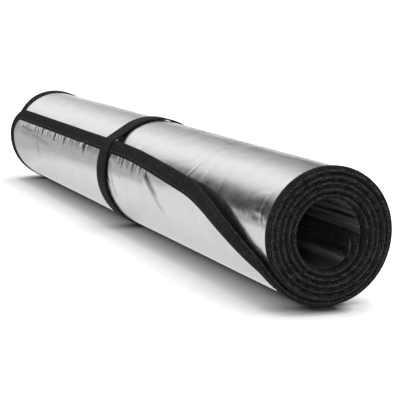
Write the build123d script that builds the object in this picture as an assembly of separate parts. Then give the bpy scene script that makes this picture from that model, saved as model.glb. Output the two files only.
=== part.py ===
"""A foil-faced foam sleeping pad, rolled up and held by a flat elastic strap.

The mat is one laminated sheet of lining, foam and foil with a tape folded round its edges. It is rolled into a
spiral of half circles along X. Seen from the +X end, a clock angle starts at 12 o'clock, is counted clockwise
and goes on past 360 degrees turn after turn, from the mat's inner end to its free outer end.
"""

from build123d import *
from math import acos, atan2, ceil, cos, degrees, radians, sin, sqrt
import os

# The laminate and its binding, in millimetres.
MAT_WIDTH = 762.0        # along the roll, over the binding
FOIL = 0.1
FOAM = 3.5
LINING = 0.2
TAPE = 0.35              # binding tape, on both faces and over the edge
TAPE_REACH = 15.0        # how far the tape reaches in from the edge

# The roll.
PITCH = 5.0              # from one turn to the next
LAST_HALF = 11           # number of the last half turn, counted from 0
OUTER_RADIUS = 58.25     # foil face of the last half turn
INNER_RADIUS = 28.0      # foil face of the first half turn, which hangs a little loose
INNER_END = 82.5         # clock angles of the two ends of the mat
OUTER_END = 2105.5
FLAP_START = 2005.0      # where the free flap's own binding begins
FLAT_RISE = 0.41         # how much the foam is squashed flat where the roll lies
FLAT_BEND = 20.0         # radius beside that flat

# The free flap's outline, seen from the front, as X and height over the roll's axis.
FLAP_TOP = 36.0
EASE_X = 70.0            # the free edge is straight up to about here, then falls slowly
SWEEP_X = 272.0          # from here it falls steeply
SWEEP_TOP = 24.0
SWEEP_LOW = -28.0        # and it reaches the mat's near side here
FAR_CORNER_BEND = 33.0
EASE_BEND = 1500.0
SWEEP_BEND = 300.0
NEAR_CORNER_BEND = 38.0

# The strap.
STRAP_WIDTH = 25.0
STRAP = 0.8
STRAP_X = -8.0           # middle of its width
CLEARANCE = 0.2          # between the strap and the binding tape
CORNER_BEND = 3.05       # inside bend of the strap over the flap's edge
LAP_FROM = 77.0          # clock angles of the overlap where the strap's ends are joined
LAP_TO = 103.0
BARTACK_WIDTH = 1.6
BARTACK_LENGTH = 20.0
BARTACK = 0.3

# Worked out from the above.
HALF_WIDTH = MAT_WIDTH / 2
SHEET = FOIL + FOAM + LINING
FLAT_TURN = LAST_HALF * 180
SIDE_STEP = PITCH / 4    # centres of left half turns are this far above the axis, and right ones below
STRAP_INNER = TAPE + CLEARANCE
STRAP_OUTER = STRAP_INNER + STRAP


def half_turn(k):
    """Height of the centre and radius of the foil face of half turn k. Even ones go down the +Y side."""
    radius = OUTER_RADIUS - (LAST_HALF - k) * PITCH / 2
    if k == 0:
        first_bottom = SIDE_STEP - (radius + PITCH / 2)
        return first_bottom + INNER_RADIUS, INNER_RADIUS
    return (SIDE_STEP if k % 2 else -SIDE_STEP), radius


FLAT_LEVEL = SIDE_STEP - OUTER_RADIUS + FLAT_RISE
AXIS_Z = STRAP_OUTER - FLAT_LEVEL
REACH_LEFT = OUTER_RADIUS + STRAP_OUTER
REACH_RIGHT = half_turn(LAST_HALF - 1)[1] + STRAP_OUTER + STRAP
AXIS_Y = (REACH_LEFT - REACH_RIGHT) / 2


def on_circle(centre, radius, angle):
    """The point at a clock angle on a circle in the roll's cross-section."""
    return centre[0] + radius * sin(radians(angle)), centre[1] + radius * cos(radians(angle))


def clock_arc(centre, radius, start, end):
    """An arc that runs clockwise from one clock angle to another."""
    return CenterArc(centre, radius, 90 - start % 360, start - end)


def flat_bend(k):
    """Centre of the bend between half turn k and the flat, and the clock angle where they meet."""
    height, radius = half_turn(k)
    up = FLAT_LEVEL + FLAT_BEND
    aside = sqrt((radius - FLAT_BEND) ** 2 - (up - height) ** 2)
    if k == LAST_HALF:
        aside = -aside
    return (aside, up), degrees(atan2(aside, up - height)) % 360


def path(offset, start, end):
    """The spiral from one clock angle to another, an offset outside the mat's foil face."""
    edges = []
    for k in range(int(start // 180), ceil(end / 180)):
        height, radius = half_turn(k)
        first, last = max(start, 180 * k), min(end, 180 * (k + 1))
        if k == LAST_HALF - 1 and last == FLAT_TURN:
            bend, meet = flat_bend(k)
            meet += FLAT_TURN - 180
            edges.append(clock_arc((0, height), radius + offset, first, meet))
            edges.append(clock_arc(bend, FLAT_BEND + offset, meet, last))
        elif k == LAST_HALF and first == FLAT_TURN:
            bend, meet = flat_bend(k)
            meet += FLAT_TURN - 180
            right = flat_bend(k - 1)[0]
            edges.append(Line((right[0], FLAT_LEVEL - offset), (bend[0], FLAT_LEVEL - offset)))
            edges.append(clock_arc(bend, FLAT_BEND + offset, first, meet))
            edges.append(clock_arc((0, height), radius + offset, meet, last))
        else:
            edges.append(clock_arc((0, height), radius + offset, first, last))
    return edges


def point(offset, angle):
    """The spiral's point at a clock angle."""
    height, radius = half_turn(int(angle // 180))
    return on_circle((0, height), radius + offset, angle)


def band(inner, outer, start, end):
    """A strip of the cross-section between two offsets and two clock angles."""
    ends = [Line(point(inner, angle), point(outer, angle)) for angle in (start, end)]
    return make_face(path(inner, start, end) + path(outer, start, end) + ends)


def along_roll(face, low, high):
    """A cross-section carried along the roll from one X to another."""
    plane = Plane(origin=(low, AXIS_Y, AXIS_Z), x_dir=(0, 1, 0), z_dir=(1, 0, 0))
    return extrude(plane * face, amount=high - low)


def past_end(angle, distance):
    """The clock angle that lies a distance further along the mat."""
    radius = half_turn(int(angle // 180))[1]
    return angle + degrees(distance / radius)


def flap_block(inset):
    """A block that holds everything inside the flap's outline, less an inset all round."""
    deep = -3 * OUTER_RADIUS
    corners = [
        (-HALF_WIDTH, deep),
        (-HALF_WIDTH, FLAP_TOP),
        (EASE_X, FLAP_TOP),
        (SWEEP_X, SWEEP_TOP),
        (HALF_WIDTH, SWEEP_LOW),
        (HALF_WIDTH, deep),
    ]
    bends = [FAR_CORNER_BEND, EASE_BEND, SWEEP_BEND, NEAR_CORNER_BEND]
    outline = FilletPolyline(corners, radius=bends)
    face = make_face([outline, Line(corners[-1], corners[0])])
    if inset:
        face = offset(face, amount=-inset)
    plane = Plane(origin=(0, 0, AXIS_Z), x_dir=(1, 0, 0), z_dir=(0, -1, 0))
    return extrude(plane * face, amount=2 * OUTER_RADIUS, both=True)


def mat_layer(inner, outer):
    """One layer of the laminate: the roll up to the flap, and the flap cut to its outline."""
    half = HALF_WIDTH - TAPE
    roll = along_roll(band(inner, outer, INNER_END, FLAP_START), -half, half)
    flap = along_roll(band(inner, outer, FLAP_START, OUTER_END), -half, half) & flap_block(TAPE)
    return roll + flap


def side_binding(low, high, side):
    """Tape folded round one side of the mat. It also closes that side's corner at the inner end."""
    start = past_end(INNER_END, -TAPE)
    wrap = along_roll(band(-SHEET - TAPE, TAPE, start, FLAP_START), low, high)
    mat = along_roll(band(-SHEET, 0, INNER_END, FLAP_START + 1), low - side * TAPE, high - side * TAPE)
    return wrap - mat


def outer_end_binding():
    """Tape folded round the flap: up the near side, along the sweep and the free edge, and down the far side."""
    end = past_end(OUTER_END, TAPE)
    wrap = along_roll(band(-SHEET - TAPE, TAPE, FLAP_START, end), -HALF_WIDTH, HALF_WIDTH) & flap_block(0)
    mat = along_roll(band(-SHEET, 0, FLAP_START - 1, OUTER_END), -HALF_WIDTH, HALF_WIDTH) & flap_block(TAPE)
    window = along_roll(
        band(-SHEET - 2 * TAPE, 2 * TAPE, FLAP_START - 1, end), -HALF_WIDTH, HALF_WIDTH
    ) & flap_block(TAPE_REACH)
    return wrap - mat - window


def inner_end_binding():
    """Tape folded round the inner end, between the two side tapes."""
    half = HALF_WIDTH - TAPE_REACH
    start = past_end(INNER_END, -TAPE)
    end = past_end(INNER_END, TAPE_REACH)
    wrap = along_roll(band(-SHEET - TAPE, TAPE, start, end), -half, half)
    mat = along_roll(band(-SHEET, 0, INNER_END, end + 1), -half, half)
    return wrap - mat


def strap_outline(offset):
    """The closed, convex line of the strap round the roll, an offset outside the mat's foil face."""
    left, right, under = (half_turn(k) for k in (LAST_HALF, LAST_HALF - 1, LAST_HALF - 2))
    centre = (0, left[0])
    edge = past_end(OUTER_END, TAPE) % 360
    bend_offset = STRAP_INNER - CORNER_BEND
    bend = on_circle(centre, left[1] + bend_offset, edge)
    leave = edge + degrees(acos((under[1] + bend_offset) / (left[1] + bend_offset)))
    left_bend, left_meet = flat_bend(LAST_HALF)
    right_bend, right_meet = flat_bend(LAST_HALF - 1)
    return [
        clock_arc((0, right[0]), right[1] + offset, 0, right_meet),
        clock_arc(right_bend, FLAT_BEND + offset, right_meet, 180),
        Line((right_bend[0], FLAT_LEVEL - offset), (left_bend[0], FLAT_LEVEL - offset)),
        clock_arc(left_bend, FLAT_BEND + offset, 180, left_meet),
        clock_arc(centre, left[1] + offset, left_meet, edge),
        clock_arc(bend, offset - bend_offset, edge, leave),
        Line(
            on_circle(bend, offset - bend_offset, leave),
            on_circle(centre, under[1] + offset, leave),
        ),
        clock_arc(centre, under[1] + offset, leave, 360),
    ]


def lap_band(inner, outer, start, end):
    """A strip over the strap's back, where its ends are joined."""
    last_right = (LAST_HALF - 1) * 180
    return band(inner, outer, last_right + start, last_right + end)


def elastic_strap():
    """One loop of flat elastic, with the overlap of its two ends at the back of the roll."""
    low, high = STRAP_X - STRAP_WIDTH / 2, STRAP_X + STRAP_WIDTH / 2
    loop = make_face(strap_outline(STRAP_OUTER)) - make_face(strap_outline(STRAP_INNER))
    lap = lap_band(STRAP_OUTER - STRAP / 2, STRAP_OUTER + STRAP, LAP_FROM, LAP_TO)
    return along_roll(loop, low, high) + along_roll(lap, low, high)


def strap_bartacks():
    """Two bars of stitching across the overlap."""
    bars = []
    for middle in (LAP_FROM + 5, LAP_TO - 5):
        half = degrees(BARTACK_WIDTH / 2 / OUTER_RADIUS)
        top = STRAP_OUTER + STRAP
        face = lap_band(top, top + BARTACK, middle - half, middle + half)
        bars.append(along_roll(face, STRAP_X - BARTACK_LENGTH / 2, STRAP_X + BARTACK_LENGTH / 2))
    return Compound(children=[Part(bar.wrapped) for bar in bars])


nodes = {
    "foil_facing": mat_layer(-FOIL, 0),
    "foam_core": mat_layer(-FOIL - FOAM, -FOIL),
    "inner_lining": mat_layer(-SHEET, -FOIL - FOAM),
    "binding_near_side": side_binding(HALF_WIDTH - TAPE_REACH, HALF_WIDTH, 1),
    "binding_far_side": side_binding(-HALF_WIDTH, TAPE_REACH - HALF_WIDTH, -1),
    "binding_outer_end": outer_end_binding(),
    "binding_inner_end": inner_end_binding(),
    "elastic_strap": elastic_strap(),
    "strap_bartacks": strap_bartacks(),
}

os.makedirs("parts", exist_ok=True)
for name, shape in nodes.items():
    export_step(shape, f"parts/{name}.step")
    box = shape.bounding_box()
    print(f"{name}: {len(shape.solids())} solids, X {box.min.X:.1f} to {box.max.X:.1f},", end=" ")
    print(f"Y {box.min.Y:.2f} to {box.max.Y:.2f}, Z {box.min.Z:.2f} to {box.max.Z:.2f}")

turns = range(1, LAST_HALF)
length = sum(radians(180) * half_turn(k)[1] for k in turns)
length += radians(180 - INNER_END) * INNER_RADIUS + radians(OUTER_END - FLAT_TURN) * OUTER_RADIUS
length -= radians(OUTER_END - INNER_END) * SHEET / 2
print(f"Along its middle, the mat unrolls to about {MAT_WIDTH:.0f} x {length:.0f} mm")
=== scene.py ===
# %% [markdown]
# # A foil-faced sleeping mat, rolled up
#
# The real thing is a thin foam sheet. It has aluminised film on one face, dark knit on the other and a
# soft black tape sewn round all its edges. It is rolled up, and an elastic strap holds the roll.
#
# The frame is loaded first. It gives the place of each body, so every piece here is built straight
# into that place, in metres, and nothing has to be fitted afterwards.

import math

import bpy
import numpy as np
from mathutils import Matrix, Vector, noise


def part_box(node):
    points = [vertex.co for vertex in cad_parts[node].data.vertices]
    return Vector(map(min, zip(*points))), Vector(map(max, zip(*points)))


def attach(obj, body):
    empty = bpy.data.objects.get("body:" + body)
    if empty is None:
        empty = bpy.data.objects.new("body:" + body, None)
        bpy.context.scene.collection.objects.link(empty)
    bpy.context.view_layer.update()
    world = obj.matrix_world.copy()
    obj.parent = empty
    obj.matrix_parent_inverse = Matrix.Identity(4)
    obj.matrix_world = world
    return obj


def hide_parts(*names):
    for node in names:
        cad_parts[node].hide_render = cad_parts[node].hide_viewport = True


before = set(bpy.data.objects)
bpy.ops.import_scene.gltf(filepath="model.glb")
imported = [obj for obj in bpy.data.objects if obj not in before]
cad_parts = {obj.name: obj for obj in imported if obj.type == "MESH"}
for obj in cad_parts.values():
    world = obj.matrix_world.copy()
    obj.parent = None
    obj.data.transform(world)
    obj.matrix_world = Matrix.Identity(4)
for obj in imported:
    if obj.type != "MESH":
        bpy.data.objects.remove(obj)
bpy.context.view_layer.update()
bpy.ops.object.select_all(action="DESELECT")

# %% [markdown]
# ## The camera
#
# A long lens from a little above the floor looks along the roll. The near end is then large and the
# roll narrows towards the far end. A shorter lens closer by would narrow it more, so the lens length
# and the distance belong together.

# %% Camera
AZIMUTH, ELEVATION = 67.07, 9.68  # degrees
bpy.ops.object.camera_add(
    location=(1.25, -0.4785, 0.2556),
    rotation=(math.radians(90 - ELEVATION), 0, math.radians(AZIMUTH)),
)
camera = bpy.context.object
camera.data.lens = 115.2
camera.data.clip_end = 50
bpy.context.scene.camera = camera
bpy.context.scene.view_settings.view_transform = "Standard"
print("camera at", tuple(round(c, 3) for c in camera.location))

# %% [markdown]
# ## The spiral
#
# All layers of the mat follow one spiral, so it is written once. Half circles with two centres make
# it: each half turn is half a pitch wider than the one before. A clock angle says how far round a
# point is. It starts at 12 o'clock, runs clockwise as seen from the near end, and goes on past 360
# degrees turn after turn. An offset says how far a layer lies outside the foil face.

# %% Sizes of the mat and of its roll
HALF_WIDTH = 0.381       # half the mat's width, along X
PITCH = 0.005            # from one turn to the next
LAST_HALF = 11           # number of the last half turn, counted from 0
OUTER_RADIUS = 0.05825   # foil face of the last half turn
INNER_RADIUS = 0.028     # foil face of the first half turn
INNER_END, OUTER_END = 82.5, 2105.5  # clock angles of the mat's two ends
SHEET = 0.0038           # thickness of foil, foam and lining
TAPE_REACH = 0.015       # how far the tape reaches in from the edge
SIDE_STEP = PITCH / 4    # centres of the left and right halves lie this far above and below the axis
FLAT_LEVEL = SIDE_STEP - OUTER_RADIUS + 0.00041  # the roll's own weight makes a flat here

foil_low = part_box("foil_facing")[0]
AXIS_Y = foil_low.y + OUTER_RADIUS
AXIS_Z = foil_low.z - FLAT_LEVEL
strap_low, strap_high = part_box("elastic_strap")
STRAP_X = (strap_low.x + strap_high.x) / 2
STRAP_HALF = (strap_high.x - strap_low.x) / 2
print(f"roll axis at y {AXIS_Y:.5f}, z {AXIS_Z:.5f}")


# %% Points on the spiral
def centre_and_radius(angle):
    """Height of the half circle's centre over the axis, and the radius of its foil face."""
    half = np.clip(np.floor(np.asarray(angle) / 180), 0, LAST_HALF)
    radius = OUTER_RADIUS - (LAST_HALF - half) * PITCH / 2
    height = np.where(half % 2 == 1, SIDE_STEP, -SIDE_STEP)
    first_bottom = SIDE_STEP - (radius + PITCH / 2)
    height = np.where(half == 0, first_bottom + INNER_RADIUS, height)
    return height, np.where(half == 0, INNER_RADIUS, radius)


def spiral(offset, angle):
    """Y and Z of the spiral's points at these clock angles, an offset outside the foil face."""
    height, radius = centre_and_radius(angle)
    turn = np.radians(angle)
    y = (radius + offset) * np.sin(turn)
    z = height + (radius + offset) * np.cos(turn)
    lying = np.asarray(angle) >= (LAST_HALF - 1) * 180
    z = np.where(lying, np.maximum(z, FLAT_LEVEL - offset), z)
    return AXIS_Y + y, AXIS_Z + z


angle_table = np.arange(0, OUTER_END + 10, 0.5)
arc_table = np.concatenate(
    [[0], np.cumsum(np.radians(0.5) * centre_and_radius(angle_table[:-1] + 0.25)[1])]
)


def arc_at(angle):
    """Distance along the mat, from clock angle 0."""
    return np.interp(angle, angle_table, arc_table)


def angle_at(arc):
    """Clock angle at a distance along the mat."""
    return np.interp(arc, arc_table, angle_table)


FLAT_LENGTH = float(arc_at(OUTER_END) - arc_at(INNER_END))
MIDDLE_LENGTH = FLAT_LENGTH - SHEET / 2 * math.radians(OUTER_END - INNER_END)
print(f"foil face {FLAT_LENGTH:.3f} m long, middle of the foam {MIDDLE_LENGTH:.3f} m")

# %% [markdown]
# ## The outline of the mat
#
# The mat's four corners are rounded, and the outer end has one long sweep towards the near side. The
# outline is drawn on the unrolled mat, with X across and the distance along the mat upwards. It is a
# line of a few straight runs whose corners are rounded with arcs, as a pattern cutter would draw it.

# %% Rounded lines on the flat mat
SMALL_CORNER = 0.0165    # radius of the corners at the inner end
SIDE_RUN = 0.022         # the inner end's tape goes this far along both sides
FLAP_START = 2005.0      # clock angle where the flap's own tape begins
NEAR_RECESS = 0.004      # how far the outermost turn lies behind the near end
FLAP_STAND = 0.0045      # how far the sweep's edge stands off the turn under it
FLAP_TOP = 0.036         # height of the free edge over the roll's axis
FLAP_DEEP = -0.2         # a height below all of the roll, where the outline starts and stops
EASE = (0.070, FLAP_TOP)                # X and height where the free edge begins to fall
SWEEP = (0.272, 0.024)                  # and where it turns down into the sweep
SWEEP_LOW = -0.028                      # height where the sweep meets the near side
FLAP_BENDS = [0.033, 1.5, 0.30, 0.038]  # radii: far corner, ease, sweep, near corner


def rounded(corners, bends, step=0.002):
    """Points along a line through the corners, each inner one rounded with its own radius."""
    corners = [np.array(c, float) for c in corners]
    points = [corners[0]]
    for before, corner, after, bend in zip(corners, corners[1:], corners[2:], bends):
        back, on = before - corner, after - corner
        back, on = back / np.linalg.norm(back), on / np.linalg.norm(on)
        half_angle = math.acos(np.clip(back @ on, -1, 1)) / 2
        reach = bend / math.tan(half_angle)
        centre = corner + (back + on) / np.linalg.norm(back + on) * bend / math.sin(half_angle)
        start, sweep = corner + back * reach - centre, math.pi - 2 * half_angle
        side = np.sign(start[1] * back[0] - start[0] * back[1])
        for part in np.linspace(0, 1, max(8, int(sweep * bend / step))):
            c, s = math.cos(part * sweep * side), math.sin(part * sweep * side)
            points.append(centre + (c * start[0] - s * start[1], s * start[0] + c * start[1]))
    return np.array(points + [corners[-1]])


def even_steps(points, step):
    """The same line with points at even steps."""
    lengths = np.concatenate([[0], np.cumsum(np.linalg.norm(np.diff(points, axis=0), axis=1))])
    at = np.linspace(0, lengths[-1], int(lengths[-1] / step) + 1)
    return np.column_stack([np.interp(at, lengths, points[:, i]) for i in (0, 1)])


def smooth(low, high, value):
    """0 up to low, 1 from high, and a soft step between."""
    t = np.clip((np.asarray(value) - low) / (high - low), 0, 1)
    return t * t * (3 - 2 * t)


print("a right angle rounded:", len(rounded([(0, 0), (1, 0), (1, 1)], [0.1])), "points")


# %% The outer end's outline
def flap_outline():
    """The outer end: up the far side, along the free edge, down the sweep and the near side."""
    front = rounded(
        [
            (-HALF_WIDTH, FLAP_DEEP), (-HALF_WIDTH, FLAP_TOP), EASE, SWEEP,
            (HALF_WIDTH, SWEEP_LOW), (HALF_WIDTH, FLAP_DEEP),
        ],
        FLAP_BENDS,
    )
    height = np.clip((front[:, 1] - SIDE_STEP) / OUTER_RADIUS, -0.9, 0.99)
    clock = 360 * 6 - np.degrees(np.arccos(height))  # climbing, in the sixth turn
    near = front[:, 0] > 0.3
    recess = NEAR_RECESS * (1 - smooth(2025, 2060, clock)) * near
    line = np.column_stack([front[:, 0] - recess, arc_at(clock)])
    line = line[(clock > FLAP_START) | (np.abs(front[:, 0]) < 0.38)]
    first, last = line[0].copy(), line[-1].copy()
    first[1] = last[1] = arc_at(FLAP_START)
    return even_steps(np.vstack([first, line, last]), 0.002)


def inner_outline():
    """The inner end: from the near side round to the far side."""
    end, start = arc_at(INNER_END), arc_at(INNER_END) + SIDE_RUN
    x = HALF_WIDTH
    return even_steps(
        rounded([(x, start), (x, end), (-x, end), (-x, start)], [SMALL_CORNER] * 2), 0.003
    )


flap_line, inner_line = flap_outline(), inner_outline()
print("flap outline:", len(flap_line), "points, inner end:", len(inner_line), "points")


def near_edge(angle):
    """X of the mat's near edge. The turns don't lie quite flush, and the last one is drawn back."""
    angle = np.asarray(angle, float)
    uneven = 0.0004 * (1 - np.cos(np.radians(angle * 0.43 + 40)))
    uneven = uneven * smooth(INNER_END + 60, INNER_END + 200, angle)
    uneven = uneven * (1 - smooth(1800, 1950, angle))
    return HALF_WIDTH - uneven - NEAR_RECESS * smooth(1845, 1990, angle)


def flap_stand(x, angle):
    """How far the flap stands off the roll along the sweep, where nothing holds its edge down. A
    strap moved on to the sweep would have to press it down, and here it can't."""
    flap = smooth(FLAP_START - 10, FLAP_START + 25, angle)
    order = np.argsort(flap_line[:, 0])
    edge = np.interp(x, flap_line[order, 0], flap_line[order, 1])
    inside = np.clip((edge - arc_at(angle)) / 0.05, 0, 1)
    along = smooth(0.07, 0.25, x) * (1 - smooth(0.28, 0.35, x))
    return FLAP_STAND * flap * along * (1 - inside) ** 1.5


# %% [markdown]
# ## Small helpers for the modelling
#
# Each layer starts as a flat grid, just as the real mat is cut flat. The grid's points are then
# moved to their place on the roll. A grid keeps its rows and columns, so a layer has clean, even
# faces, and the flat mat can be kept as its UV map for patterns that follow the surface.

# %% Grids, places and modifiers
def flat_grid(name, across, along):
    """A new flat grid, and how far across and along it each point lies, from 0 to 1."""
    bpy.ops.object.select_all(action="DESELECT")
    bpy.ops.mesh.primitive_grid_add(x_subdivisions=across, y_subdivisions=along, size=2)
    piece = bpy.context.object
    piece.name = piece.data.name = name
    points = np.zeros(len(piece.data.vertices) * 3)
    piece.data.vertices.foreach_get("co", points)
    points = points.reshape(-1, 3)
    return piece, (points[:, 0] + 1) / 2, (points[:, 1] + 1) / 2


def put(piece, columns, x, y, z, u, v, outward):
    """Moves the points to their place and keeps (u, v) as the UV map. The faces of the first column
    tell whether the grid has to be turned to face outward."""
    mesh = piece.data
    mesh.vertices.foreach_set("co", np.column_stack([x, y, z]).ravel())
    corners = np.zeros(len(mesh.loops), int)
    mesh.loops.foreach_get("vertex_index", corners)
    layer = mesh.uv_layers[0] if mesh.uv_layers else mesh.uv_layers.new(name="flat")
    layer.name = "flat"
    layer.data.foreach_set("uv", np.column_stack([u, v])[corners].ravel())
    mesh.update()
    first_column = list(mesh.polygons)[::columns]
    if sum(face.normal.dot(outward(face.center)) for face in first_column) < 0:
        bpy.ops.object.mode_set(mode="EDIT")
        bpy.ops.mesh.select_all(action="SELECT")
        bpy.ops.mesh.flip_normals()
        bpy.ops.object.mode_set(mode="OBJECT")
    return piece


def from_axis(point):
    """The direction straight out from the roll's axis."""
    return Vector((0, point.y - AXIS_Y, point.z - AXIS_Z))


def make_active(piece):
    """Selects one piece alone."""
    bpy.ops.object.select_all(action="DESELECT")
    piece.select_set(True)
    bpy.context.view_layer.objects.active = piece


def modify(piece, kind, **settings):
    """Adds a modifier and applies it."""
    make_active(piece)
    modifier = piece.modifiers.new(kind.lower(), kind)
    for key, value in settings.items():
        setattr(modifier, key, value)
    bpy.ops.object.modifier_apply(modifier=modifier.name)


def soften(piece, degrees=40):
    """Smooth shading, with edges sharper than the angle kept."""
    make_active(piece)
    bpy.ops.object.shade_smooth_by_angle(angle=math.radians(degrees))


def grain(x, y, z=0.0):
    """Even, repeatable noise from -1 to 1 at many points."""
    z = np.broadcast_to(z, np.shape(x))
    return np.array([noise.noise(Vector(p)) for p in zip(x, y, z)])


print("grain at two points:", grain(np.array([0.3, 0.8]), np.array([0.5, 0.5])).round(3))

# %% [markdown]
# ## Materials
#
# Shader sums are easier to read as Python expressions. A `Wire` stands for one socket, and adding or
# multiplying wires adds the Math nodes. A `Finish` owns one material. Its `node` method makes any
# other node: it takes the type, the settings and the sockets' values or wires.

# %% Wires and finishes
class Wire:
    """The output of a node, for use in sums."""

    def __init__(self, finish, socket):
        self.finish, self.socket = finish, socket

    def sum(self, operation, first, second):
        return self.finish.node("ShaderNodeMath", {"operation": operation}, {0: first, 1: second})

    def __add__(self, other):
        return self.sum("ADD", self, other)

    def __radd__(self, other):
        return self.sum("ADD", other, self)

    def __sub__(self, other):
        return self.sum("SUBTRACT", self, other)

    def __rsub__(self, other):
        return self.sum("SUBTRACT", other, self)

    def __mul__(self, other):
        return self.sum("MULTIPLY", self, other)

    def __rmul__(self, other):
        return self.sum("MULTIPLY", other, self)

    def __truediv__(self, other):
        return self.sum("DIVIDE", self, other)

    def __pow__(self, other):
        return self.sum("POWER", self, other)


class Finish:
    """One material, or the world, and the nodes in it."""

    def __init__(self, name, owner=None):
        self.material = owner or bpy.data.materials.new(name)
        self.material.use_nodes = True
        self.tree = self.material.node_tree
        self.shader = self.tree.nodes.get("Principled BSDF")

    def node(self, kind, settings=None, sockets=None, out=0):
        """Any node: its settings are set first, then its sockets' values or wires."""
        made = self.tree.nodes.new(kind)
        for key, value in (settings or {}).items():
            if key == "stops":
                while len(made.color_ramp.elements) < len(value):
                    made.color_ramp.elements.new(1.0)
                for element, (place, shade) in zip(made.color_ramp.elements, value):
                    element.position, element.color = place, (*shade, 1)
            else:
                setattr(made, key, value)
        for key, value in (sockets or {}).items():
            self.join(made.inputs[key], value)
        return Wire(self, made.outputs[out])

    def join(self, socket, value):
        if isinstance(value, Wire):
            self.tree.links.new(value.socket, socket)
        else:
            socket.default_value = value

    def set(self, **sockets):
        """Values or wires for the main shader, such as base_color or roughness."""
        for key, value in sockets.items():
            words = key.replace("_", " ").title().replace("Ior", "IOR")
            self.join(self.shader.inputs[words], value)

    def flat_place(self):
        """Places on the flat mat, in metres: X across and the distance along."""
        return self.node("ShaderNodeUVMap", {"uv_map": "flat"})

    def stretched(self, place, scale):
        """The same places, stretched by a scale for each direction."""
        return self.node("ShaderNodeMapping", None, {"Vector": place, "Scale": scale})

    def cloud(self, place, scale, detail=3.0, roughness=0.5):
        """Soft noise from about 0.3 to 0.7."""
        return self.node(
            "ShaderNodeTexNoise", None,
            {"Vector": place, "Scale": scale, "Detail": detail, "Roughness": roughness},
        )

    def between(self, factor, low, high):
        """A colour that runs from low to high."""
        stops = [(0.0, low), (1.0, high)]
        return self.node("ShaderNodeValToRGB", {"stops": stops}, {0: factor})

    def rescale(self, value, from_low, from_high, to_low, to_high):
        """A value moved from one range to another, held at its ends."""
        sockets = {0: value, 1: from_low, 2: from_high, 3: to_low, 4: to_high}
        return self.node("ShaderNodeMapRange", None, sockets)

    def bumps(self, height, distance, strength=1.0):
        """Fine relief on the main shader."""
        sockets = {"Height": height, "Distance": distance, "Strength": strength}
        self.set(normal=self.node("ShaderNodeBump", None, sockets))


print("helpers for materials:", Wire.__name__, Finish.__name__)

# %% [markdown]
# ### Foil
#
# The outside is aluminised film. It is a mirror that never lies quite flat. The shape of the larger
# creases is in the mesh. The film's fine crumple is bump: cloudy noise, streaks where the seam
# gathers the film, and faint ridges between Voronoi cells. Two attributes of the mesh steer the finish.
# "gathers" says where the streaks are, and the other paints the film darker along a sharp crease:
# painted shade.

# %% Foil finish
def foil_finish():
    foil = Finish("aluminised_film")
    place = foil.flat_place()
    wavy = foil.cloud(foil.stretched(place, (9.0, 17.0, 1.0)), 1.0, 4.0, 0.5)
    gathers = foil.node("ShaderNodeAttribute", {"attribute_name": "gathers"}, None, "Fac")
    streaks = foil.cloud(foil.stretched(place, (150.0, 12.0, 1.0)), 1.0, 3.0, 0.5) * gathers
    patches = foil.rescale(foil.cloud(place, 11.0, 2.0), 0.48, 0.62, 0.0, 1.0)
    drift = foil.node("ShaderNodeTexNoise", None, {"Vector": place, "Scale": 9.0}, 1)
    warp = foil.node(
        "ShaderNodeMix", {"data_type": "VECTOR"}, {"Factor": 0.12, 4: place, 5: drift}, out=1
    )
    ridges = foil.node(
        "ShaderNodeTexVoronoi", {"feature": "DISTANCE_TO_EDGE"},
        {"Vector": foil.stretched(warp, (24.0, 36.0, 1.0)), "Scale": 1.0},
    )
    ridge = foil.rescale(ridges, 0.0, 0.09, 1.0, 0.0)
    wear_and_fold_highlight = foil.cloud(place, 40.0, 5.0, 0.65)
    scuffed = foil.node("ShaderNodeAttribute", {"attribute_name": "scuffed"}, None, "Fac")
    # The film's colour varies at random, and is painted darker along sharp creases: painted shade.
    tone_with_crease_shade = foil.rescale(wear_and_fold_highlight, 0.3, 0.7, 0.80, 1.0) * (1 - scuffed)
    foil.set(
        base_color=foil.between(tone_with_crease_shade, (0.38, 0.38, 0.385), (0.90, 0.90, 0.91)),
        metallic=1.0,
        roughness=foil.rescale(wear_and_fold_highlight, 0.3, 0.7, 0.14, 0.26),
    )
    foil.bumps(wavy * 0.8 + streaks * 0.8 + ridge * (patches * 0.07 + 0.01), 0.0024, 0.7)
    return foil.material


foil_material = foil_finish()
print("made", foil_material.name)

# %% [markdown]
# ### Binding, lining, elastic, foam and thread
#
# The binding is a soft napped tape: nearly black, with paler fibre ends that make it look like felt.
# The lining is a dark knit with a slight sheen. The elastic is woven, with ribs across it. The foam
# shows small closed cells. None of these is one flat black, because real black cloth has dust,
# fibres and a weave that catch the light.

# %% Cloth finishes
TAPE_WIDE = 0.035        # the width that the tape's pattern is drawn on, from one raw edge to the other


def felt_finish():
    felt = Finish("napped_binding_tape")
    place = felt.node("ShaderNodeTexCoord", out=3)
    fibres = felt.cloud(place, 1150.0, 3.0, 0.75)
    patches = felt.cloud(place, 160.0, 3.0, 0.6)
    across = felt.node("ShaderNodeSeparateXYZ", None, {0: felt.flat_place()})
    from_fold = felt.node("ShaderNodeMath", {"operation": "ABSOLUTE"}, {0: across - TAPE_WIDE / 2})
    # Painted highlight: the tape's fold, the crown of each ring, is paler, and the tape beside it
    # darker.
    wear_and_fold_highlight = felt.rescale(from_fold, 0.0, 0.0022, 0.55, 0.0)
    pale = felt.rescale(fibres * 0.8 + patches * 0.2, 0.47, 0.60, 0.0, 1.0)
    pale = pale * (0.45 + wear_and_fold_highlight * 1.4) + wear_and_fold_highlight * 0.10
    felt.set(
        base_color=felt.between(pale, (0.003, 0.003, 0.0032), (0.10, 0.10, 0.104)),
        roughness=felt.rescale(patches, 0.3, 0.7, 0.82, 0.98),
        specular_ior_level=0.12,
    )
    felt.bumps(fibres + patches * 0.6, 0.0016, 1.0)
    return felt.material


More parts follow.
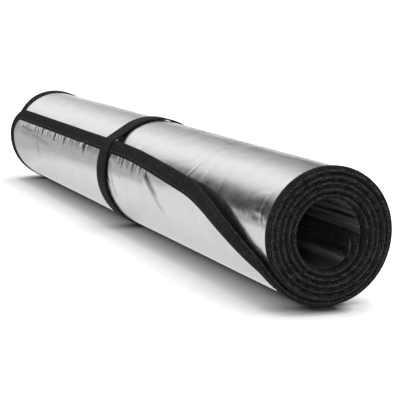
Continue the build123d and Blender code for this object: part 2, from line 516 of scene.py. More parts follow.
def lining_finish():
    lining = Finish("dark_knit_lining")
    place = lining.flat_place()
    knit = lining.node(
        "ShaderNodeTexWave", {"wave_type": "BANDS", "bands_direction": "X"},
        {"Vector": place, "Scale": 210.0, "Distortion": 1.2, "Detail": 2.0, "Detail Scale": 3.0},
    )
    courses = lining.node(
        "ShaderNodeTexWave", {"wave_type": "BANDS", "bands_direction": "Y"},
        {"Vector": place, "Scale": 160.0, "Distortion": 1.0, "Detail": 2.0, "Detail Scale": 3.0},
    )
    # The knit is paler and rougher in long streaks along the roll.
    lengthwise_streaks = lining.cloud(lining.stretched(place, (5.0, 130.0, 1.0)), 1.0, 4.0, 0.6)
    pale = lining.rescale(lengthwise_streaks, 0.38, 0.64, 0.0, 1.0)
    lining.set(
        base_color=lining.between(pale, (0.008, 0.008, 0.0085), (0.15, 0.15, 0.155)),
        roughness=lining.rescale(lengthwise_streaks, 0.3, 0.7, 0.30, 0.48),
        specular_ior_level=0.6,
    )
    lining.bumps(knit * courses + lengthwise_streaks * 0.8, 0.0003, 0.6)
    return lining.material


def elastic_finish():
    elastic = Finish("woven_elastic")
    place = elastic.flat_place()
    ribs = elastic.node(
        "ShaderNodeTexWave", {"wave_type": "BANDS", "bands_direction": "Y"},
        {"Vector": place, "Scale": 145.0, "Distortion": 0.3, "Detail": 1.0},
    )
    warp = elastic.node(
        "ShaderNodeTexWave", {"wave_type": "BANDS", "bands_direction": "X"},
        {"Vector": place, "Scale": 260.0, "Distortion": 0.6, "Detail": 1.0},
    )
    dust = elastic.cloud(place, 700.0, 4.0, 0.65)
    pale = elastic.rescale(ribs * 0.45 + dust * 0.55, 0.2, 0.8, 0.0, 1.0)
    elastic.set(
        base_color=elastic.between(pale, (0.003, 0.003, 0.0034), (0.022, 0.022, 0.0235)),
        roughness=elastic.rescale(dust, 0.3, 0.7, 0.55, 0.75),
        specular_ior_level=0.08,
    )
    elastic.bumps(ribs * 0.8 + warp * 0.4 + dust * 0.3, 0.0004, 0.7)
    return elastic.material


def foam_finish():
    foam = Finish("closed_cell_foam")
    place = foam.node("ShaderNodeTexCoord", out=3)
    cells = foam.node("ShaderNodeTexVoronoi", None, {"Vector": place, "Scale": 1400.0})
    foam.set(
        base_color=foam.between(cells, (0.045, 0.046, 0.048), (0.11, 0.11, 0.115)),
        roughness=foam.rescale(cells, 0.0, 1.0, 0.7, 0.9),
    )
    foam.bumps(cells, 0.0003, 0.7)
    return foam.material


def thread_finish():
    thread = Finish("polyester_thread")
    place = thread.node("ShaderNodeTexCoord", out=3)
    twist = thread.node(
        "ShaderNodeTexWave", {"wave_type": "BANDS", "bands_direction": "DIAGONAL"},
        {"Vector": place, "Scale": 900.0, "Distortion": 0.5},
    )
    thread.set(
        base_color=thread.between(twist, (0.012, 0.012, 0.013), (0.05, 0.05, 0.052)),
        roughness=thread.rescale(twist, 0.0, 1.0, 0.4, 0.6),
    )
    thread.bumps(twist, 0.00015, 0.8)
    return thread.material


felt_material, lining_material = felt_finish(), lining_finish()
elastic_material, foam_material, thread_material = elastic_finish(), foam_finish(), thread_finish()
print("made", len(bpy.data.materials), "materials")


def dress(piece, material, body="roll"):
    """Gives a piece its material and the body that it moves with."""
    piece.data.materials.clear()
    piece.data.materials.append(material)
    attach(piece, body)
    return piece


# %% [markdown]
# ## The layers of the mat
#
# Foil, foam and lining are the same flat sheet at three depths. One function winds a flat grid into
# the roll. The hidden turns get few rows of faces, and the rows that show get many. At both ends the
# columns of the grid stop at the outline, so the rounded corners and the sweep are cut with no
# trimming.

# %% Wind a flat sheet
LAYER_INSET = 0.0015     # how far the layers stop inside the outline, within the tape


def ends_at(x, inset):
    """Clock angles where the sheet begins and ends in the columns at these X."""
    free = flap_line[np.argsort(flap_line[:, 0])]
    inner = inner_line[np.argsort(inner_line[:, 0])]
    scale = HALF_WIDTH / (HALF_WIDTH - inset)
    last = np.interp(x * scale, free[:, 0], free[:, 1]) - inset
    first = np.interp(x * scale, inner[:, 0], inner[:, 1]) + inset
    return angle_at(first), angle_at(last)


def wind(name, offset, columns, rows, inset, lift=None):
    """A sheet wound into the roll, and the X and clock angle of its points. Rows are clock angles,
    from the inner end to the outer one."""
    rows = np.array(rows, float)
    piece, across, along = flat_grid(name, columns, len(rows) - 1)
    nominal = np.interp(along, np.linspace(0, 1, len(rows)), rows)
    half = HALF_WIDTH - inset
    x = (2 * across - 1) * half
    first, last = ends_at(x, inset)
    begin, settle = rows[0], INNER_END + 60
    inner_part = np.clip((settle - nominal) / (settle - begin), 0, 1)
    angle = nominal + (first - begin) * inner_part
    give = FLAP_START - 45
    outer_part = np.clip((nominal - give) / (rows[-1] - give), 0, 1)
    angle = angle + (last - rows[-1]) * outer_part
    x = np.where(x > 0, x * (near_edge(angle) - inset) / half, x)
    height = lift(x, angle) if lift else 0.0
    y, z = spiral(offset + height + flap_stand(x, angle), angle)
    put(piece, columns, x, y, z, x, arc_at(angle), from_axis)
    return piece, x, angle


def row_angles(*runs):
    """Clock angles in runs of (start, end, step)."""
    angles = [np.linspace(a, b, int(round((b - a) / step)), endpoint=False) for a, b, step in runs]
    return np.concatenate(angles + [[runs[-1][1]]])


middle_runs = [round(float(end[0]), 1) for end in ends_at(np.array([0.0]), LAYER_INSET)]
print("the middle column runs between clock angles", middle_runs)

# %% [markdown]
# ### Creases in the foil
#
# The film is stuck to the foam, and the roll bends it. It has slow waves, gathers where the seam of
# the tape pulls at it, single sharp creases where the mat was once folded, a shallow hollow beside
# the sweep, and short wrinkles near the near end on the turn under the flap. Each is a lift of the
# surface, outwards or inwards. They fade out under the strap, which holds the film down.

# %% Single sharp creases
SHOWN_FROM = 1655        # clock angle where the turn that shows begins
CREASE_SHADE_WIDE = 0.0021      # how far the painted shade reaches on each side of a crease
SINGLE_CREASES = [  # X and clock angle of both ends, height in millimetres, half width
    (0.110, 285, 0.165, 257, 0.80, 0.0032),
    (0.120, 286, 0.150, 270, -0.45, 0.0028),
    (0.014, 284, 0.026, 248, -0.60, 0.0035),
    (0.004, 280, 0.012, 262, -0.55, 0.0030),
    (-0.335, 286, -0.270, 283, 0.70, 0.0025),
    (-0.285, 281, -0.205, 276, -0.65, 0.0022),
    (-0.330, 278, -0.290, 277, 0.45, 0.0022),
    (-0.262, 290, -0.246, 258, 0.75, 0.0022),
    (-0.190, 352, -0.120, 341, 0.30, 0.0050),
    (0.160, 356, 0.215, 348, 0.25, 0.0050),
]


def beside_crease(x, angle, x0, clock0, x1, clock1):
    """How far points lie beside a crease, and how much of it is there: it fades at both ends."""
    run = np.array([x1 - x0, math.radians(clock1 - clock0) * OUTER_RADIUS])
    gap_x = x - x0
    gap_s = np.radians((angle % 360 - clock0 + 180) % 360 - 180) * OUTER_RADIUS
    part = (gap_x * run[0] + gap_s * run[1]) / (run @ run)
    aside = (gap_x * run[1] - gap_s * run[0]) / np.linalg.norm(run)
    return smooth(-0.15, 0.15, part) * (1 - smooth(0.85, 1.15, part)), np.abs(aside)


def crease_shading(x, angle):
    """Painted shade: the film's colour is darker along a sharp crease."""
    darkening = np.zeros(len(x))
    for *ends, rise, width in SINGLE_CREASES:
        nearby, aside = beside_crease(x, angle, *ends)
        darkening = np.maximum(darkening, nearby * np.exp(-((aside / CREASE_SHADE_WIDE) ** 2)) * abs(rise))
    return darkening * (angle > SHOWN_FROM)


print(len(SINGLE_CREASES), "single creases")


# %% Gathers and the lift of the foil
def gathering(x, angle):
    """How hard the seam gathers the foil: most beside the tape, and in two long runs of it."""
    to_edge = arc_at(ends_at(x, 0.0)[1]) - arc_at(angle)
    fade = np.exp(-np.clip(to_edge - TAPE_REACH, 0, 1) / 0.013) * smooth(1960, 1985, angle)
    left = smooth(-0.30, -0.24, x) * (1 - smooth(-0.07, -0.05, x))
    right = smooth(0.006, 0.01, x) * (1 - smooth(0.08, 0.13, x))
    return fade * (0.3 + 0.7 * (left + right))


def foil_lift(x, angle):
    """How far the foil stands off the foam. Only the turn that shows has creases."""
    height = np.zeros(len(x))
    shown = np.where(angle > SHOWN_FROM)[0]
    x, angle = x[shown], angle[shown]
    arc = arc_at(angle)
    to_edge = arc_at(ends_at(x, 0.0)[1]) - arc
    on_flap = smooth(1960, 1985, angle)
    slow = grain(x * 8, arc * 24) * 0.40 + grain(x * 17, arc * 52, 5.0) * 0.12
    comb = grain(x * 170, arc * 6, 9.0) + 0.6 * grain(x * 75, arc * 5, 2.0)
    patchy = 0.65 + 0.9 * grain(x * 30, arc * 3, 31.0)
    clock = angle % 360
    beside_rim = smooth(0.335, 0.36, x) * smooth(275, 285, clock) * (1 - smooth(298, 304, clock))
    jagged = (1 - on_flap) * beside_rim * grain(x * 30, arc * 330, 17.0) * 0.35
    lift = slow + comb * gathering(x, angle) * patchy * 1.25 + jagged
    sweep = smooth(0.06, 0.2, x) * on_flap
    lift -= sweep * 0.8 * np.exp(-(((to_edge - 0.030) / 0.010) ** 2))
    for *ends, rise, width in SINGLE_CREASES:
        nearby, aside = beside_crease(x, angle, *ends)
        lift += rise * nearby * np.exp(-aside / width)
    edge = smooth(TAPE_REACH * 0.6, TAPE_REACH * 1.4, to_edge)
    edge *= 1 - 0.9 * smooth(0.36, 0.368, np.abs(x))
    edge *= smooth(STRAP_HALF * 0.7, STRAP_HALF * 1.4, np.abs(x - STRAP_X))
    height[shown] = lift * edge * 0.001 * smooth(SHOWN_FROM, SHOWN_FROM + 15, angle)
    return np.maximum(height, -0.0012)


edge_gathers = gathering(np.array([-0.15, 0.2]), np.array([2070.0, 2070.0]))
print("gathering at X -0.15 and 0.2, clock 2070:", edge_gathers.round(2))

# %% Foil
outer_rows = row_angles((INNER_END, 202.5, 15), (202.5, 1652.5, 16), (1652.5, OUTER_END, 2.15))
foil, foil_x, foil_clock = wind("foil_film", 0.0, 300, outer_rows, LAYER_INSET, foil_lift)
gathers = foil.data.attributes.new("gathers", "FLOAT", "POINT")
gathers.data.foreach_set("value", gathering(foil_x, foil_clock))
# The painted shade along the sharp creases, kept on the mesh for the foil's colour.
scuffed = foil.data.attributes.new("scuffed", "FLOAT", "POINT")
scuffed.data.foreach_set("value", crease_shading(foil_x, foil_clock))
soften(foil, 60)
dress(foil, foil_material)
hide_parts("foil_facing")
print("foil:", len(foil.data.polygons), "faces")

# %% [markdown]
# ### Foam and lining
#
# The foam is a real slab, so it gets its thickness from a Solidify modifier. The lining is a thin
# sheet on the foam's inner face, and the part of it in the hollow shows, so its first turn has
# narrower rows.

# %% Foam core and lining
FOAM_TOP = -0.00012      # offset of the foam's outer face, just under the foil
FOAM_THICK, FOAM_GIVE = 0.00346, 0.0011  # the last turn's foam gives way under the foil's creases
LINING_THICK = 0.00018


def foam_give(x, angle):
    """How far the foam's outer face gives way."""
    return -FOAM_GIVE * smooth(SHOWN_FROM - 15, SHOWN_FROM - 3, angle)


plain_rows = row_angles((INNER_END, 202.5, 7.5), (202.5, 1802.5, 15), (1802.5, OUTER_END, 6))
foam, foam_x, foam_clock = wind("foam_sheet", FOAM_TOP, 64, plain_rows, LAYER_INSET, foam_give)
thickness = foam.vertex_groups.new(name="thickness")
for point, give in enumerate(foam_give(foam_x, foam_clock)):
    thickness.add([point], float(1 + give / FOAM_THICK), "REPLACE")
modify(foam, "SOLIDIFY", thickness=FOAM_THICK, offset=-1, vertex_group="thickness")
soften(foam)
dress(foam, foam_material)
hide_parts("foam_core")

lining_rows = row_angles((INNER_END, 472.5, 4), (472.5, 1802.5, 14), (1802.5, OUTER_END, 6))
lining = wind("knit_lining", -SHEET, 64, lining_rows, LAYER_INSET)[0]
make_active(lining)
bpy.ops.object.mode_set(mode="EDIT")
bpy.ops.mesh.select_all(action="SELECT")
bpy.ops.mesh.flip_normals()
bpy.ops.object.mode_set(mode="OBJECT")
modify(lining, "SOLIDIFY", thickness=LINING_THICK, offset=-1)
soften(lining)
dress(lining, lining_material)
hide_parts("inner_lining")
print("foam:", len(foam.data.polygons), "faces, lining:", len(lining.data.polygons), "faces")

# %% [markdown]
# ## The binding tape
#
# The tape is folded in half over the mat's edge, so its section is a U with a soft round back. The
# same U follows the edge everywhere: round the spiral at both ends of the roll, along the sweep and
# across both ends of the mat. It is a long grid whose short side is the U. The real tape is soft
# and napped, so its back is not quite even.

# %% The U section and its sweep
U_HALF = 0.00236         # half the folded tape's thickness
U_BACK = 0.0026          # depth of its round back
TAPE_THICK = 0.0003
PROUD = 0.0005           # how much thicker the tape is on the outermost turn
NEAR_REACH, FAR_REACH = 0.0085, 0.0180  # less tape shows at the near end, and more at the far end
NEAR_PROUD, FAR_PROUD = 0.0014, 0.0015  # and it stands prouder at both
NEAR_SIDE_SWELLS, OTHERS_SWELL = (1660, 1690), (1745, 1775)  # clock angles where that begins


def proud_at(depth, reach, proud, clock):
    """How much prouder the outermost turn's tape is: nothing at its raw edge, and little at the
    bottom, where the roll's weight presses it."""
    pressed = np.maximum(np.cos(np.radians(clock - 180)), 0) ** 4
    return (proud + (PROUD - proud) * pressed) * (1 - smooth(reach - 0.005, reach, depth))


def u_section(reach):
    """Depth in from the edge, and offset from the foil face, from the outer leg to the inner one."""
    leg = np.linspace(reach, U_BACK, 6)[:-1]
    turn = np.linspace(0, math.pi, 11)
    middle = -SHEET / 2
    depth = np.concatenate([leg, U_BACK * (1 - np.sin(turn)), leg[::-1]])
    rise = U_HALF * np.cos(turn)
    leg_rise = U_HALF - 0.00016 * (leg - U_BACK) / (reach - U_BACK)
    return depth, middle + np.concatenate([leg_rise, rise, -leg_rise[::-1]])


def fold_tape(name, edge_x, edge_arc, in_x, in_arc, seed, reach=TAPE_REACH, proud=PROUD, swell=0.00016):
    """The tape's U carried along an edge of the mat, given on the flat mat with its inward side."""
    depth, offset = u_section(reach)
    piece, across, along = flat_grid(name, len(depth) - 1, len(edge_x) - 1)
    station = np.round(along * (len(edge_x) - 1)).astype(int)
    place = np.round(across * (len(depth) - 1)).astype(int)
    d, o = depth[place], offset[place]
    x, arc = edge_x[station], edge_arc[station]
    back = np.exp(-((d / 0.004) ** 2))
    uneven = grain(arc * 90 + x * 60, o * 300 + seed, d * 200)
    uneven = uneven + 0.6 * grain(arc * 420 + x * 300, o * 700, d * 500 + seed)
    d = d + uneven * back * swell
    o = o + np.sign(o + SHEET / 2) * np.minimum(uneven, 0) * swell * 0.5
    clock = angle_at(arc)
    outermost = smooth(*(NEAR_SIDE_SWELLS if in_x[0] < 0 else OTHERS_SWELL), clock)
    rise = proud_at(d, reach, proud, clock)
    o = o + outermost * rise * smooth(-SHEET / 2, U_HALF - SHEET / 2, o)
    x = x + in_x[station] * d
    angle = angle_at(arc) + np.degrees(in_arc[station] * d / centre_and_radius(angle_at(arc))[1])
    y, z = spiral(o + flap_stand(x, angle), angle)
    along_tape = np.concatenate([[0], np.cumsum(np.hypot(np.diff(edge_x), np.diff(edge_arc)))])
    put(piece, len(depth) - 1, x, y, z, across * TAPE_WIDE, along_tape[station], from_axis)
    modify(piece, "SOLIDIFY", thickness=TAPE_THICK, offset=-1)
    soften(piece)
    return dress(piece, felt_material)


def inward(line):
    """The side of an outline that faces into the mat, at each of its points."""
    step = np.gradient(line, axis=0)
    step /= np.linalg.norm(step, axis=1)[:, None]
    return step[:, 1], -step[:, 0]


print("the tape's section:", len(u_section(TAPE_REACH)[0]), "points")

# %% Binding round the two ends of the roll
side_start = float(angle_at(arc_at(INNER_END) + SIDE_RUN))
side_angles = row_angles((side_start, FLAP_START, 2.5))
side_arcs = arc_at(side_angles)
ones, zeros = np.ones(len(side_angles)), np.zeros(len(side_angles))
near_rim = fold_tape(
    "binding_near", near_edge(side_angles), side_arcs, -ones, zeros, 3.0, NEAR_REACH, NEAR_PROUD
)
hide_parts("binding_near_side")
far_rim = fold_tape(
    "binding_far", -HALF_WIDTH * ones, side_arcs, ones, zeros, 11.0, FAR_REACH, FAR_PROUD
)
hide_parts("binding_far_side")
print("rims:", len(near_rim.data.polygons), "faces each")

# %% Binding round the mat's outer and inner ends
flap_in = inward(flap_line)
flap_rim = fold_tape("binding_flap", flap_line[:, 0], flap_line[:, 1], *flap_in, 17.0)
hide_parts("binding_outer_end")
inner_in = inward(inner_line)
inner_rim = fold_tape("binding_inner", inner_line[:, 0], inner_line[:, 1], *inner_in, 23.0)
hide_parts("binding_inner_end")
print("flap binding:", len(flap_rim.data.polygons), "faces")

# %% [markdown]
# ### Stitches
#
# A lock stitch holds the tape, a few millimetres in from its raw edge. One stitch is a short thread
# that dips at both ends. It is modelled once from a ball of few faces, pulled long, and then copied
# along the seam wherever the seam shows.

# %% One stitch, and seams of it
STITCH, STITCH_STEP = 0.0030, 0.0040  # length, and from one to the next
SEAM_BACK = 0.003        # from the tape's raw edge to its seam


def from_lowest(face):
    """The same face from its lowest corner. A four-sided one keeps its diagonal."""
    starts = range(0, len(face), 2 if len(face) == 4 else 1)
    return min(tuple(face[i:] + face[:i]) for i in starts)


def one_stitch():
    """Points and faces of one stitch along X, lying on Z = 0. The ball's points come in another
    order in each run of Blender, so they are sorted to give the same mesh every time."""
    bpy.ops.object.select_all(action="DESELECT")
    bpy.ops.mesh.primitive_uv_sphere_add(
        segments=8, ring_count=5, radius=0.5, rotation=(0, math.pi / 2, 0)
    )
    ball = bpy.context.object
    bpy.ops.object.transform_apply(location=False, rotation=True, scale=False)
    points = np.array([v.co for v in ball.data.vertices])
    faces = [tuple(p.vertices) for p in ball.data.polygons]
    bpy.data.objects.remove(ball)
    order = np.lexsort(points.round(6).T)
    rank = np.argsort(order)
    points = points[order]
    faces = sorted(from_lowest([int(rank[i]) for i in face]) for face in faces)
    points = points * (STITCH, 0.0007, 0.0005)
    points[:, 2] -= 0.0002 * (np.abs(points[:, 0]) / (STITCH / 2)) ** 2
    return points, faces


stitch_points, stitch_faces = one_stitch()


def sew(name, places, directions, ups, body="roll"):
    """Copies of the stitch at places, each along its direction and standing up along its up."""
    sides = np.cross(ups, directions)
    points = np.concatenate([
        place + stitch_points @ np.array([along, side, up])
        for place, along, side, up in zip(places, directions, sides, ups)
    ])
    count = len(stitch_points)
    faces = [tuple(i + n * count for i in face) for n in range(len(places)) for face in stitch_faces]
    mesh = bpy.data.meshes.new(name)
    mesh.from_pydata(points.tolist(), [], faces)
    seam = bpy.data.objects.new(name, mesh)
    bpy.context.scene.collection.objects.link(seam)
    soften(seam, 60)
    dress(seam, thread_material, body)
    print(name + ":", len(places), "stitches")
    return seam


def seam_on_mat(name, line, offset, proud=0.0):
    """A seam along a line of the flat mat, at an offset from the foil face."""
    line = even_steps(line, STITCH_STEP)
    angle = angle_at(line[:, 1])
    rise = proud_at(-SEAM_BACK, 0.0, proud, angle) if proud else 0.0
    stand = flap_stand(line[:, 0], angle)
    places = np.column_stack([line[:, 0], *spiral(offset + rise + stand, angle)])
    ahead = np.gradient(places, axis=0)
    ahead /= np.linalg.norm(ahead, axis=1)[:, None]
    height = centre_and_radius(angle)[0]
    ups = places - np.column_stack([line[:, 0], np.full(len(line), AXIS_Y), AXIS_Z + height])
    ups /= np.linalg.norm(ups, axis=1)[:, None] * (1 if offset > -SHEET / 2 else -1)
    ups -= ahead * np.sum(ups * ahead, axis=1)[:, None]
    ups /= np.linalg.norm(ups, axis=1)[:, None]
    return sew(name, places, ahead, ups)


SEAM_IN = TAPE_REACH - SEAM_BACK
SEAM_OFFSET = U_HALF - SHEET / 2 + 0.00002
flap_seam_line = flap_line + np.column_stack(flap_in) * SEAM_IN
flap_seam = seam_on_mat("flap_seam", flap_seam_line[4:-4], SEAM_OFFSET, PROUD)
shown_angles = np.arange(1746.0, FLAP_START - 1, 2.0)
near_x = near_edge(shown_angles) - NEAR_REACH + SEAM_BACK
near_line = np.column_stack([near_x, arc_at(shown_angles)])
near_seam = seam_on_mat("near_seam", near_line, SEAM_OFFSET, NEAR_PROUD)
far_x = np.full(len(shown_angles), FAR_REACH - SEAM_BACK - HALF_WIDTH)
far_line = np.column_stack([far_x, arc_at(shown_angles)])
far_seam = seam_on_mat("far_seam", far_line, SEAM_OFFSET, FAR_PROUD)
inner_seam_line = inner_line + np.column_stack(inner_in) * SEAM_IN
inner_seam = seam_on_mat("inner_seam", inner_seam_line[6:-6], -SHEET - SEAM_OFFSET)

# %% [markdown]
# ## The elastic strap
#
# An elastic loop pulls itself into the shortest line round the roll. That line is the convex hull of
# the roll's section: it lies on the foil nearly everywhere, and it bridges the step at the flap's
# edge in a straight run. The strap is a grid laid along that line. Woven elastic has ribs across it,
# and they are in the mesh as small waves.

# %% The strap's line round the roll
STRAP_INNER = 0.00056    # its inner face, over the foil face
OVER_TAPE = 0.00102      # and where it crosses the flap's tape
STRAP_THICK = 0.0018
STRAP_UNDER = 0.00078    # its thickness under the roll, where it is pressed
STRAP_STEP = 0.0006      # from one row of its faces to the next
LAP_THICK, LAP_SUNK = 0.0008, 0.0002     # the overlap at the back, and how far it sinks in


def hull(points):
    """The convex hull of points in a plane, counter-clockwise."""
    points = sorted(map(tuple, points))
    sides = []
    for run in (points, points[::-1]):
        side = []
        for p in run:
            while len(side) > 1 and (
                (side[-1][0] - side[-2][0]) * (p[1] - side[-2][1])
                <= (side[-1][1] - side[-2][1]) * (p[0] - side[-2][0])
            ):
                side.pop()
            side.append(p)
        sides += side[:-1]
    return np.array(sides)


def strap_line(offset, step):
    """Y and Z round the roll at even steps, starting at the back. The flap's edge is softened."""
    turn = np.arange(OUTER_END - 361, OUTER_END, 0.5)
    roll = np.column_stack(spiral(offset, turn))
    tape = np.column_stack(spiral(OVER_TAPE, np.arange(OUTER_END - 14, OUTER_END - 1.5, 0.5)))
    loop = hull(np.vstack([roll, tape]))
    back = np.argmax(loop[:, 0])
    loop = np.vstack([loop[back:], loop[: back + 1]])
    loop = even_steps(loop, step)[:-1]
    for _ in range(6):
        loop = (np.roll(loop, 1, axis=0) + 2 * loop + np.roll(loop, -1, axis=0)) / 4
    return loop


loop = strap_line(STRAP_INNER, STRAP_STEP)
print("strap:", len(loop), "stations,", round(len(loop) * STRAP_STEP, 3), "m round")


# %% Elastic strap
def lay_strap(name, line, closed, inner, thick, ribs):
    """A strip of elastic along a line in the roll's section, with ribs and rounded selvedges."""
    if closed:
        step = np.roll(line, -1, axis=0) - np.roll(line, 1, axis=0)
    else:
        step = np.gradient(line, axis=0)
    step /= np.linalg.norm(step, axis=1)[:, None]
    out = np.column_stack([step[:, 1], -step[:, 0]])
    profile_x = np.array([1, 1.0, 0.97, 0.9, 0.6, 0.2, -0.2, -0.6, -0.9, -0.97, -1, -1, -0.6, 0, 0.6])
    profile_up = np.array([0.1, 0.75, 0.95, 1, 1, 1, 1, 1, 1, 0.95, 0.75, 0.1, 0, 0, 0])
    count = len(line) if closed else len(line) - 1
    piece, across, along = flat_grid(name, len(profile_x), count)
    station = np.round(along * count).astype(int)
    place = np.round(across * len(profile_x)).astype(int) % len(profile_x)
    on = station % len(line)
    lower = np.clip((line[on, 1] - 0.0006) / 0.012, 0, 1)
    depth = STRAP_UNDER + (thick - STRAP_UNDER) * (smooth(0, 1, lower) if closed else 1)
    up = profile_up[place]
    top = smooth(0.7, 1.0, up)
    rib = ribs * np.cos(station * math.pi * 0.5) * top + ribs * 0.6 * np.cos(place * 2.4) * top
    lift = inner + up * depth + np.where(lower > 0.3, rib, 0)
    wobble = 0.00025 * np.sin(station * 0.021 + place * 0.01)
    x = STRAP_X + profile_x[place] * (STRAP_HALF - 0.0003) + wobble * (np.abs(profile_x[place]) > 0.5)
    points = line[on] + out[on] * lift[:, None]
    y, z = points[:, 0], points[:, 1]
    put(piece, len(profile_x), x, y, z, x, station * STRAP_STEP, lambda point: Vector((1, 0, 0)))
    make_active(piece)
    bpy.ops.object.mode_set(mode="EDIT")
    bpy.ops.mesh.select_all(action="SELECT")
    bpy.ops.mesh.remove_doubles(threshold=0.00001)
    if not closed:
        bpy.ops.mesh.select_all(action="DESELECT")
        bpy.ops.mesh.select_non_manifold()
        bpy.ops.mesh.fill_holes(sides=0)
    bpy.ops.mesh.select_all(action="SELECT")
    bpy.ops.mesh.normals_make_consistent(inside=False)
    bpy.ops.object.mode_set(mode="OBJECT")
    soften(piece, 50)
    return dress(piece, elastic_material, "strap")


strap = lay_strap("elastic_loop", loop, True, 0.0, STRAP_THICK, 0.00006)
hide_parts("elastic_strap")

LAP_ANGLES = np.linspace(77, 103, 44)
lap_centre = float(centre_and_radius((LAST_HALF - 1) * 180 + 90)[0])
lap_radius = OUTER_RADIUS - PITCH / 2 + STRAP_INNER
lap_line = np.column_stack([
    AXIS_Y + lap_radius * np.sin(np.radians(LAP_ANGLES)),
    AXIS_Z + lap_centre + lap_radius * np.cos(np.radians(LAP_ANGLES)),
])[::-1]
lay_strap("elastic_lap", lap_line, False, STRAP_THICK - LAP_SUNK, LAP_THICK, 0.00005)
print("strap:", len(strap.data.polygons), "faces")


# %% Bartacks
def bartacks():
    """Two bars of dense stitches that close the loop at the back."""
    places, directions, ups = [], [], []
    for clock in (82, 98):
        for n in range(27):
            turn = math.radians(clock + (0.45 if n % 2 else -0.45))
            out = np.array([0, math.sin(turn), math.cos(turn)])
            radius = lap_radius + STRAP_THICK + LAP_THICK
            x = STRAP_X + (n - 13) * 0.00074
            y, z = AXIS_Y + radius * out[1], AXIS_Z + lap_centre + radius * out[2]
            places.append(np.array([x, y, z]))
            tangent = np.array([0.25 if n % 2 else -0.25, out[2], -out[1]])
            directions.append(tangent / np.linalg.norm(tangent))
            ups.append(out)
    return sew("bartacks", places, directions, ups, "strap")


bars = bartacks()
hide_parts("strap_bartacks")

# %% [markdown]

# %% [markdown]
# ## Floor and light
#
# A pale floor and a large soft light overhead give the soft shadow along the roll. Near the roll the
# floor's colour is painted darker, a painted shadow that deepens it, and for the camera the floor glows
# more the farther it lies from the roll, a painted fade of that shadow. A mirror shows only what stands
# round it, so the world matters more than the lamps here. The rays that light cloth see an even, soft
# white. The rays
# that a mirror sends out see a studio: bright screens with dark gaps, a bright ceiling and cove, dark
# flags low in front with a bright strip under them, and a floor that glows for mirrors alone, brighter
# next to
# the roll and darker beyond its far end: a painted reflection.

# %% Floor
bpy.ops.object.select_all(action="DESELECT")
bpy.ops.mesh.primitive_grid_add(x_subdivisions=8, y_subdivisions=8, size=14, location=(0, 0, 0))
floor = bpy.context.object
floor.name = "studio_floor"
paper = Finish("pale_paper_floor")
bright = paper.node("ShaderNodeLightPath", out="Is Camera Ray")
speck = paper.cloud(paper.node("ShaderNodeTexCoord", out=3), 60.0, 2.0)
mirrored = paper.node("ShaderNodeLightPath", out="Is Glossy Ray")
spot = paper.node("ShaderNodeTexCoord", out=3)
along_roll = paper.node("ShaderNodeSeparateXYZ", None, {0: spot})
aside = paper.node("ShaderNodeSeparateXYZ", None, {0: spot}, out=1)
past_end = paper.node("ShaderNodeMath", {"operation": "ABSOLUTE"}, {0: along_roll}) - HALF_WIDTH
past_end = paper.node("ShaderNodeMath", {"operation": "MAXIMUM"}, {0: past_end, 1: 0.0})
past_end = past_end * 2.6
aside = paper.node("ShaderNodeMath", {"operation": "MAXIMUM"}, {0: aside * -1.0, 1: aside * 2.6})
distance = (past_end * past_end + aside * aside) ** 0.5
# Painted light: for the camera the floor glows more the farther it lies from the roll, which paints how
# its shadow fades.
camera_glow_off_roll = paper.rescale(distance, 0.04, 0.23, 0.0, 0.6)
painted_contact_shadow = paper.rescale(distance, 0.013, 0.055, 0.06, 1.0)
# White for the camera with a painted shadow against the roll, 0.78 for cloth and 0.33 for mirrors.
white = bright * painted_contact_shadow + (1 - bright) * 0.78 - mirrored * 0.45
# Painted reflection: the floor glows for mirrors alone, brighter right next to the roll, with a darker
# patch beyond the roll's far end.
mirror_dark_patch = paper.rescale(distance, 0.055, 0.10, 0.0, 1.0)
mirror_dark_patch = mirror_dark_patch * paper.rescale(along_roll, -0.55, -0.35, 1.0, 0.0)
shade = paper.rescale(distance, 0.02, 0.14, 0.50, 0.40)
shade = shade + paper.rescale(distance, 0.0, 0.03, 0.3, 0.0)
glow = bright * camera_glow_off_roll + mirrored * (shade - mirror_dark_patch * 0.28)
paper.set(
    base_color=paper.between(white, (0.0, 0.0, 0.0), (1.0, 1.0, 1.0)),
    roughness=paper.rescale(speck, 0.3, 0.7, 0.92, 1.0),
    specular_ior_level=0.0,
    emission_color=paper.between(glow, (0.0, 0.0, 0.0), (1.0, 1.0, 1.0)),
    emission_strength=1.0,
)
floor.data.materials.append(paper.material)
print("floor placed")


# %% World and lamps
SCREEN_BEARING = math.radians(184)  # where the middle of one of the four bright screens stands


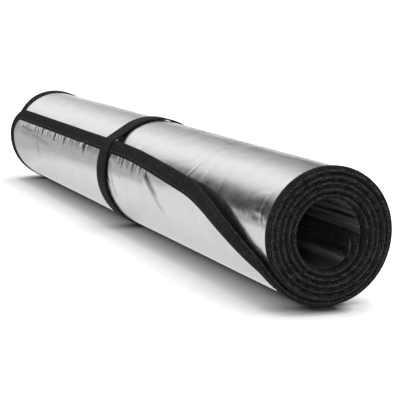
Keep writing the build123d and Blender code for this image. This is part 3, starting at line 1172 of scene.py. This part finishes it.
def studio_world():
    """Even white for the camera and for cloth, and screens with dark gaps for mirrors."""
    world = bpy.data.worlds.new("studio_world")
    bpy.context.scene.world = world
    sky = Finish("studio_world", world)
    background = sky.tree.nodes["Background"]
    background.inputs["Color"].default_value = (1, 1, 1, 1)
    direction = sky.node("ShaderNodeTexCoord")
    parts = [sky.node("ShaderNodeSeparateXYZ", None, {0: direction}, out=i) for i in range(3)]
    bearing = sky.node("ShaderNodeMath", {"operation": "ARCTAN2"}, {0: parts[1], 1: parts[0]})
    turned = (bearing - SCREEN_BEARING) * 4.0
    screens = sky.node("ShaderNodeMath", {"operation": "COSINE"}, {0: turned})
    shades = [
        (0.0, 0.03), (0.15, 0.08), (0.345, 0.33), (0.55, 0.46),
        (0.685, 0.60), (0.82, 0.72), (0.925, 0.84), (1.0, 0.95),
    ]
    stops = [(p, (v, v, v)) for p, v in shades]
    screens = sky.node("ShaderNodeValToRGB", {"stops": stops}, {0: screens * 0.5 + 0.5})
    front, height = parts[1] * -1.0, parts[2]
    low_flag = sky.rescale(front, 0.20, 0.25, 0.0, 0.68) * sky.rescale(front, 0.32, 0.37, 1.0, 0.0)
    low_flag = low_flag * sky.rescale(height, 0.08, 0.14, 1.0, 0.0)
    slanted = height + (front - 0.36) * 0.8
    front_flag = sky.rescale(front, 0.22, 0.33, 0.0, 0.92)
    front_flag = front_flag * sky.rescale(slanted, 0.09, 0.13, 0.0, 1.0)
    front_flag = front_flag * sky.rescale(height, 0.28, 0.46, 1.0, 0.0)
    front_strip = sky.rescale(front, 0.38, 0.41, 0.0, 0.70)
    front_strip = front_strip * sky.rescale(slanted, 0.07, 0.10, 1.0, 0.0)
    screens = screens * (1 - low_flag) * (1 - front_flag) + front_strip
    ceiling = sky.rescale(height, 0.45, 0.7, 0.0, 0.85)
    cove = sky.rescale(height, 0.09, 0.17, 0.85, 0.0)
    cove = cove * sky.rescale(parts[1], 0.1, 0.3, 0.0, 1.0)
    mirrored = sky.node("ShaderNodeMath", {"operation": "MAXIMUM"}, {0: screens, 1: ceiling})
    mirrored = sky.node("ShaderNodeMath", {"operation": "MAXIMUM"}, {0: mirrored, 1: cove})
    glossy_ray = sky.node("ShaderNodeLightPath", out="Is Glossy Ray")
    camera_ray = sky.node("ShaderNodeLightPath", out="Is Camera Ray")
    cloth_light = 0.72
    strength = cloth_light + glossy_ray * (mirrored - cloth_light) + camera_ray * (1.0 - cloth_light)
    sky.join(background.inputs["Strength"], strength)
    return world


def soft_lamp(name, place, aim, size, watts):
    """A square softbox at a place, turned towards a point."""
    bpy.ops.object.select_all(action="DESELECT")
    towards = Vector(aim) - Vector(place)
    turned = towards.to_track_quat("-Z", "Y").to_euler()
    bpy.ops.object.light_add(type="AREA", location=place, rotation=turned)
    lamp = bpy.context.object
    lamp.name = name
    lamp.data.size = size
    lamp.data.energy = watts
    return lamp


studio_world()
soft_lamp("overhead_softbox", (0.0, 0.5, 2.2), (0, 0, 0), 2.2, 30)
soft_lamp("end_softbox", (2.4, -1.15, 0.22), (0.38, 0, 0.06), 0.4, 15)
print("lamps placed")
